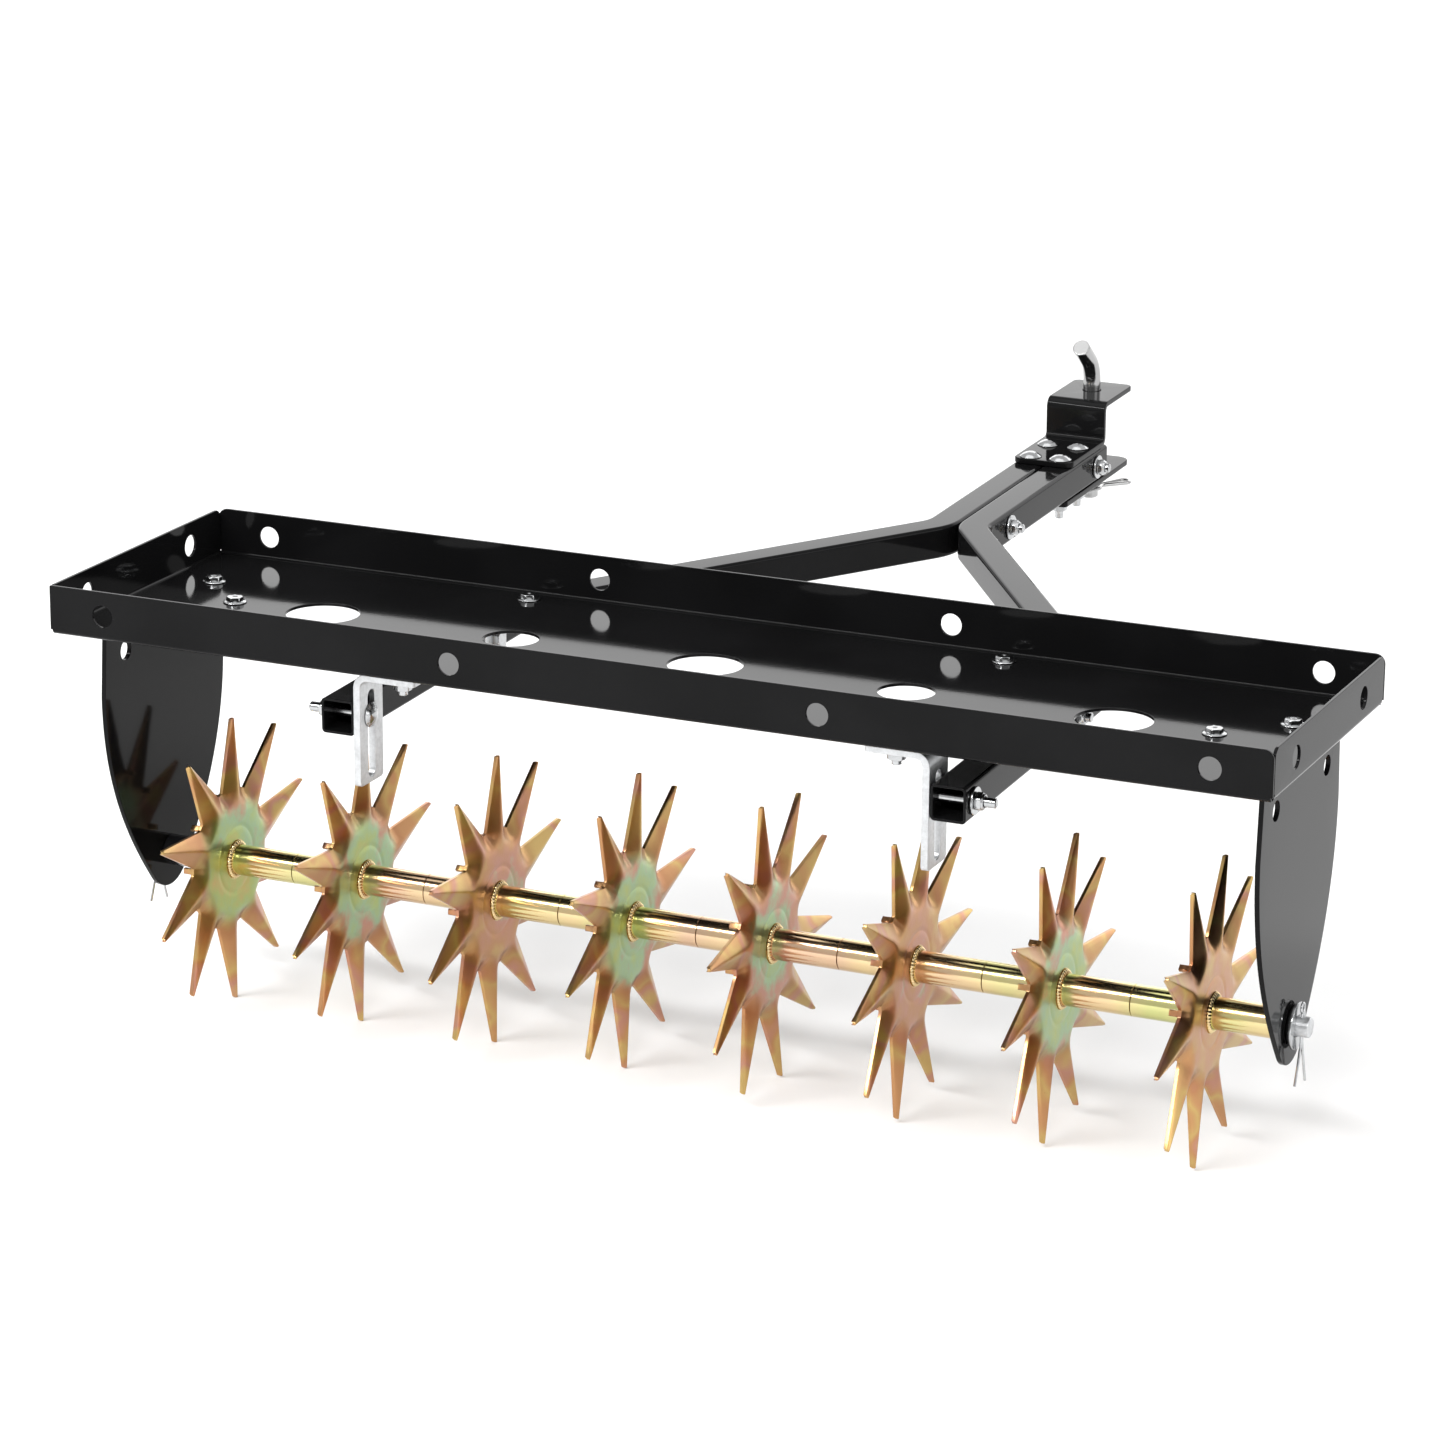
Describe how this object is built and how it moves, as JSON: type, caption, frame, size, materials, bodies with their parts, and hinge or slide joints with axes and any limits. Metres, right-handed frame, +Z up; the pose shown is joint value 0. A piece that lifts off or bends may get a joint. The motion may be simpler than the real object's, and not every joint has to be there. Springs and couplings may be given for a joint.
{
  "type": "tow-behind spike aerator",
  "caption": "Tow-behind lawn spike aerator: pointed star wheels on an axle under a shallow steel weight tray, with a bent A-frame tow bar and a clevis pin hitch.",
  "frame": {"origin": "middle of the footprint, on the ground under the star wheels", "axes": "+X to the right across the tray, +Y forward along the tow bars, +Z up"},
  "size_m": [1.016, 1.051, 0.4292],
  "materials": {
    "black_powder_coat": "gloss black powder coat on sheet and tube steel",
    "bright_zinc": "bright zinc plate, soft streaked reflections",
    "zinc_fastener": "bright zinc plate on pressed and rolled fasteners",
    "yellow_zinc": "yellow chromate zinc plate, gold with green and pink bloom",
    "chrome_pin": "polished plate, near mirror",
    "black_nylon": "moulded black nylon"
  },
  "bodies": {
    "frame": {"weight_tray": "black_powder_coat", "side_plate_left": "black_powder_coat", "side_plate_right": "black_powder_coat", "axle_bush_left": "black_nylon", "axle_bush_right": "black_nylon", "lift_strap_left": "bright_zinc", "lift_strap_right": "bright_zinc", "hinge_bracket_left": "bright_zinc", "hinge_bracket_right": "bright_zinc", "hinge_bolt_left": "zinc_fastener", "hinge_bolt_right": "zinc_fastener", "hinge_nut_left": "zinc_fastener", "hinge_nut_right": "zinc_fastener", "plate_bolt_left_1": "zinc_fastener", "plate_bolt_left_2": "zinc_fastener", "plate_bolt_right_1": "zinc_fastener", "plate_bolt_right_2": "zinc_fastener", "strap_bolt_left": "zinc_fastener", "strap_bolt_right": "zinc_fastener", "bracket_bolt_left": "zinc_fastener", "bracket_bolt_right": "zinc_fastener"},
    "axle": {"axle": "bright_zinc", "axle_washer_left": "bright_zinc", "axle_washer_right": "bright_zinc", "cotter_pin_left": "bright_zinc", "cotter_pin_right": "bright_zinc"},
    "star_1": {"star_wheel_1": "yellow_zinc"},
    "star_2": {"star_wheel_2": "yellow_zinc"},
    "star_3": {"star_wheel_3": "yellow_zinc"},
    "star_4": {"star_wheel_4": "yellow_zinc"},
    "star_5": {"star_wheel_5": "yellow_zinc"},
    "star_6": {"star_wheel_6": "yellow_zinc"},
    "star_7": {"star_wheel_7": "yellow_zinc"},
    "star_8": {"star_wheel_8": "yellow_zinc"},
    "tongue": {"tow_bar_left": "black_powder_coat", "tow_bar_right": "black_powder_coat", "slot_bolt_left": "zinc_fastener", "slot_bolt_right": "zinc_fastener", "slot_washer_left": "zinc_fastener", "slot_washer_right": "zinc_fastener", "slot_nut_left": "zinc_fastener", "slot_nut_right": "zinc_fastener", "clamp_bolt_1": "zinc_fastener", "clamp_bolt_2": "zinc_fastener", "clamp_washer_1": "zinc_fastener", "clamp_washer_2": "zinc_fastener", "clamp_nut_1": "zinc_fastener", "clamp_nut_2": "zinc_fastener", "hitch_bolt_left_1": "zinc_fastener", "hitch_bolt_left_2": "zinc_fastener", "hitch_bolt_right_1": "zinc_fastener", "hitch_bolt_right_2": "zinc_fastener", "hitch_nut_left_1": "zinc_fastener", "hitch_nut_left_2": "zinc_fastener", "hitch_nut_right_1": "zinc_fastener", "hitch_nut_right_2": "zinc_fastener", "hitch_upper_bracket": "black_powder_coat", "hitch_lower_plate": "black_powder_coat"},
    "hitch_pin": {"hitch_pin": "chrome_pin"},
    "hitch_clip": {"hitch_clip": "bright_zinc"}
  },
  "joints": [
    {"name": "axle_spin", "type": "hinge", "parent": "frame", "child": "axle", "pos_m": [0, -0.38946, 0.12098], "axis": [1, 0, 0], "continuous": true},
    {"name": "star_1_spin", "type": "hinge", "parent": "axle", "child": "star_1", "pos_m": [0, -0.38946, 0.12098], "axis": [1, 0, 0], "continuous": true},
    {"name": "star_2_spin", "type": "hinge", "parent": "axle", "child": "star_2", "pos_m": [0, -0.38946, 0.12098], "axis": [1, 0, 0], "continuous": true},
    {"name": "star_3_spin", "type": "hinge", "parent": "axle", "child": "star_3", "pos_m": [0, -0.38946, 0.12098], "axis": [1, 0, 0], "continuous": true},
    {"name": "star_4_spin", "type": "hinge", "parent": "axle", "child": "star_4", "pos_m": [0, -0.38946, 0.12098], "axis": [1, 0, 0], "continuous": true},
    {"name": "star_5_spin", "type": "hinge", "parent": "axle", "child": "star_5", "pos_m": [0, -0.38946, 0.12098], "axis": [1, 0, 0], "continuous": true},
    {"name": "star_6_spin", "type": "hinge", "parent": "axle", "child": "star_6", "pos_m": [0, -0.38946, 0.12098], "axis": [1, 0, 0], "continuous": true},
    {"name": "star_7_spin", "type": "hinge", "parent": "axle", "child": "star_7", "pos_m": [0, -0.38946, 0.12098], "axis": [1, 0, 0], "continuous": true},
    {"name": "star_8_spin", "type": "hinge", "parent": "axle", "child": "star_8", "pos_m": [0, -0.38946, 0.12098], "axis": [1, 0, 0], "continuous": true},
    {"name": "tongue_tilt", "type": "hinge", "parent": "frame", "child": "tongue", "pos_m": [0, -0.27746, 0.30488], "axis": [1, 0, 0], "range_deg": [-3.6, 8]},
    {"name": "hitch_pin_turn", "type": "hinge", "parent": "tongue", "child": "hitch_pin", "pos_m": [0, 0.48639, 0.32021], "axis": [0, -0.0201, 0.9998], "continuous": true},
    {"name": "clip_pull", "type": "slide", "parent": "hitch_pin", "child": "hitch_clip", "axis": [0.4695, 0.8828, 0.0177], "range_m": [0, 0.03]}
  ]
}
